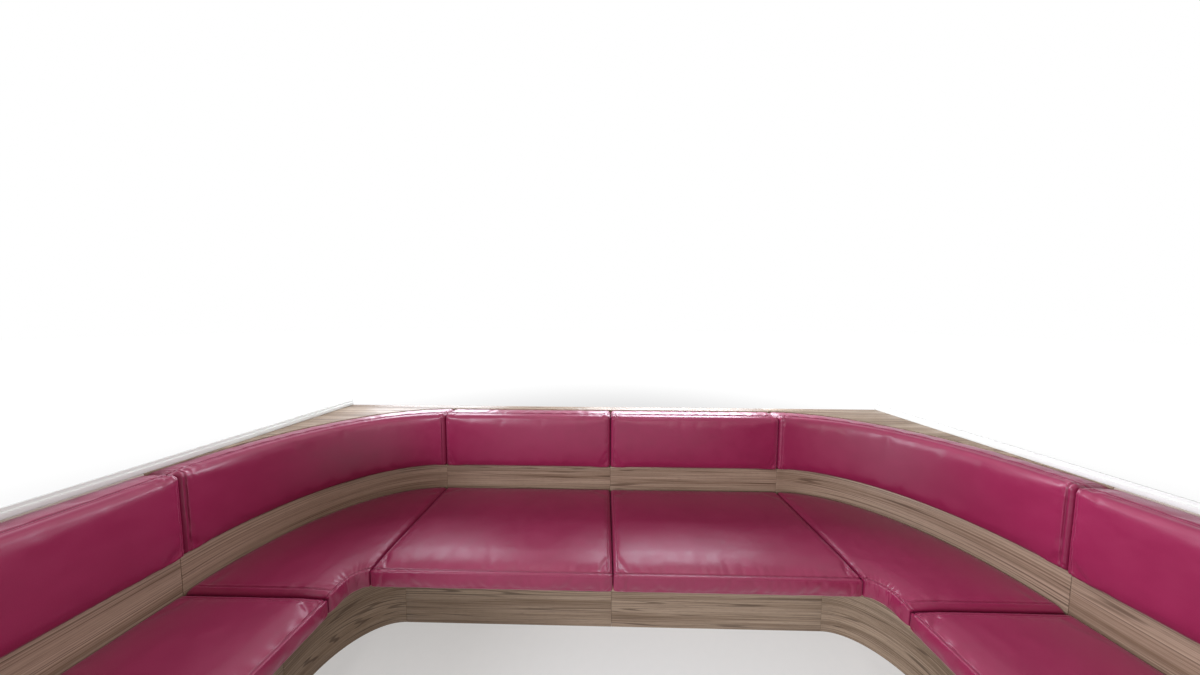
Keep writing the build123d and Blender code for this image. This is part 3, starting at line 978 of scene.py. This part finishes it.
@surface("zinc_plate")
def steel_material(nodes, _):
    """Zinc-plated steel: grey with a faint spangle, brushed roughness."""
    spangle = nodes.add("TexVoronoi", {"Vector": nodes.spot(), "Scale": 160.0})["Color"]
    tone = nodes.add("SeparateColor", {0: spangle})[0]
    return {"Base Color": nodes.mix(tone, (0.5, 0.51, 0.52, 1), (0.62, 0.63, 0.63, 1)),
            "Roughness": nodes.scaled(nodes.wear(0.5), 0.15, 0.36),
            "Normal": nodes.bump(tone, 0.1, 0.0002), "Metallic": 1.0}


@surface("pale_floor")
def floor_material(nodes, finish):
    """Pale floor that keeps the shadow near the bench and turns to the white of the world far off, as seen
    directly or in a reflection."""
    near, far = 1.6, 6.0
    spot = nodes.spot()
    tone = nodes.mix(nodes.ramp(nodes.noise(spot, 30.0, 3.0), 0.3, 0.7), finish.floor, shade(finish.floor, 1.015))
    distance = nodes.add("VectorMath", {0: spot}, operation="LENGTH")["Value"]
    away = nodes.times(nodes.ramp(distance, near, far, 0.4, 1.0), nodes.seen())
    return {"Base Color": nodes.mix(away, tone, (0, 0, 0, 1)), "Roughness": 0.85, "Specular IOR Level": 0.1,
            "Emission Color": (1, 1, 1, 1), "Emission Strength": away}


# Operators

def turned(*degrees):
    """Turn about x, y and z."""
    return Euler([math.radians(a) for a in degrees])


class BENCH_OT_camera(bpy.types.Operator):
    """Camera at the viewing angle of the reference picture"""

    bl_idname = "bench.camera"
    bl_label = "Camera"

    def execute(self, context):
        data = bpy.data.cameras.new("camera")
        data.lens, data.sensor_width = 8.049, 36.0
        data.clip_start, data.clip_end = 0.02, 60.0
        camera = bpy.data.objects.new("camera", data)
        camera.location = (-0.0402, -0.8090, 1.442)
        camera.rotation_euler = turned(86.727, -0.266, 0.926)
        context.scene.collection.objects.link(camera)
        context.scene.camera = camera
        return {"FINISHED"}


class BENCH_OT_stage(bpy.types.Operator):
    """Pale floor, soft lamps and a plain world"""

    bl_idname = "bench.stage"
    bl_label = "Stage"

    def execute(self, context):
        scene = context.scene
        scene.view_settings.view_transform = "Standard"
        self.make_world(scene)
        self.make_floor(scene)
        self.make_lamps(scene)
        return {"FINISHED"}

    def make_world(self, scene):
        """White where it is seen, and weaker as light on the bench."""
        white, fill = 1.0, 0.28
        world = bpy.data.worlds.new("studio")
        scene.world = world
        world.use_nodes = True
        nodes = Nodes(world.node_tree)
        strength = nodes.scaled(nodes.seen(), white - fill, fill)
        nodes.feed(world.node_tree.nodes["Background"], {"Color": (1, 1, 1, 1), "Strength": strength})

    def make_floor(self, scene):
        """Square floor far beyond the view."""
        reach = 40
        mesh = bpy.data.meshes.new("floor")
        square = [(-reach, -reach, 0), (reach, -reach, 0), (reach, reach, 0), (-reach, reach, 0)]
        mesh.from_pydata(square, [], [(0, 1, 2, 3)])
        ground = bpy.data.objects.new("floor", mesh)
        mesh.materials.append(floor_material())
        scene.collection.objects.link(ground)

    def make_lamps(self, scene):
        """Soft lamps: place, turn in degrees, width, depth, watts and colour."""
        daylight, lamplight = (0.84, 0.90, 1.0), (1.0, 0.98, 0.95)
        lamps = {
            "ceiling_left": ((-0.7, -0.4, 2.6), (0, 0, 0), 0.25, 2.6, 9, lamplight),
            "ceiling_right": ((0.7, -0.4, 2.6), (0, 0, 0), 0.25, 2.6, 9, lamplight),
            "window_left": ((-1.6, 1.6, 1.75), (-90, 0, 0), 1.1, 1.5, 38, daylight),
            "window_right": ((0.58, 1.6, 1.72), (-90, 0, 0), 1.5, 1.2, 66, daylight),
            "door": ((-4.0, -4.4, 2.0), (78, 0, -48), 2.4, 2.4, 250, daylight),
            "front": ((0.6, -4.2, 1.4), (80, 0, 5), 2.4, 1.6, 28, lamplight),
            "side": ((-3.0, -1.0, 1.5), (84, 0, -82), 1.4, 0.8, 38, daylight),
        }
        for name, (spot, turn, width, depth, watts, light) in lamps.items():
            lamp = bpy.data.lights.new(name, "AREA")
            lamp.shape, lamp.size, lamp.size_y, lamp.energy = "RECTANGLE", width, depth, watts
            lamp.color = light
            holder = bpy.data.objects.new(name, lamp)
            holder.location = spot
            holder.rotation_euler = turned(*turn)
            holder.visible_camera = False
            scene.collection.objects.link(holder)


class BENCH_OT_back_cushions(bpy.types.Operator):
    """Padded back cushions with a stitched top border"""

    bl_idname = "bench.back_cushions"
    bl_label = "Back Cushions"

    def execute(self, context):
        cushion_set("back")
        return {"FINISHED"}


class BENCH_OT_seat_cushions(bpy.types.Operator):
    """Padded seat cushions with a folded front edge"""

    bl_idname = "bench.seat_cushions"
    bl_label = "Seat Cushions"

    def execute(self, context):
        cushion_set("seat")
        return {"FINISHED"}


class BENCH_OT_panels(bpy.types.Operator):
    """Laminate band and plinth of every bay"""

    bl_idname = "bench.panels"
    bl_label = "Band and Plinth"

    def execute(self, context):
        for family in ("band", "plinth"):
            for bay in BAYS:
                for side_name in SIDES:
                    panel_piece(family, bay, side_name)
        return {"FINISHED"}


class BENCH_OT_shelf(bpy.types.Operator):
    """Shelf, capping, trim strips and end panels"""

    bl_idname = "bench.shelf"
    bl_label = "Shelf and Trim"

    def execute(self, context):
        for side_name in SIDES:
            eased_copy("shelf_window_" + side_name, laminate_material("x"))
            eased_copy("shelf_corner_" + side_name, laminate_material("x"))
            eased_copy("capping_arm_" + side_name, lipping_material())
            eased_copy("end_panel_" + side_name, laminate_material("upright"))
            trim_piece(side_name)
        return {"FINISHED"}


class BENCH_OT_frame(bpy.types.Operator):
    """Finishes of the boards, ribs, battens and brackets"""

    bl_idname = "bench.frame"
    bl_label = "Frame"

    def execute(self, context):
        finishes = {
            "seat_board": plywood_material("seat"),
            "back_board": plywood_material("back"),
            "ribs": plywood_material("rib"),
            "wall_battens": batten_material(),
            "floor_brackets": steel_material(),
        }
        for name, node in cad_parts.items():
            for family, material in finishes.items():
                if name.startswith(family):
                    node.data.materials.clear()
                    node.data.materials.append(material)
        return {"FINISHED"}


OPERATORS = (BENCH_OT_camera, BENCH_OT_stage, BENCH_OT_panels, BENCH_OT_shelf, BENCH_OT_frame,
             BENCH_OT_back_cushions, BENCH_OT_seat_cushions)
GROUPS = {"bench_cushions": BenchCushions, "bench_stitches": BenchStitches, "bench_finish": BenchFinish}


class BENCH_PT_panel(bpy.types.Panel):
    """Lists the pieces of the bench"""

    bl_idname = "BENCH_PT_panel"
    bl_label = "Lounge Bench"
    bl_space_type = "VIEW_3D"
    bl_region_type = "UI"
    bl_category = "Bench"

    def draw(self, context):
        for group in GROUPS:
            box = self.layout.box()
            settings = getattr(context.scene, group)
            for name in settings.bl_rna.properties.keys():
                if name not in ("rna_type", "name"):
                    box.prop(settings, name)
        for operator in OPERATORS:
            self.layout.operator(operator.bl_idname)


CLASSES = (*GROUPS.values(), *OPERATORS, BENCH_PT_panel)


def register():
    for kind in CLASSES:
        bpy.utils.register_class(kind)
    for name, group in GROUPS.items():
        setattr(bpy.types.Scene, name, PointerProperty(type=group))


def unregister():
    for name in reversed(GROUPS):
        delattr(bpy.types.Scene, name)
    for kind in reversed(CLASSES):
        bpy.utils.unregister_class(kind)


def main():
    register()
    for operator in OPERATORS:
        getattr(bpy.ops.bench, operator.bl_idname.split(".")[1])()


if __name__ == "__main__":
    main()
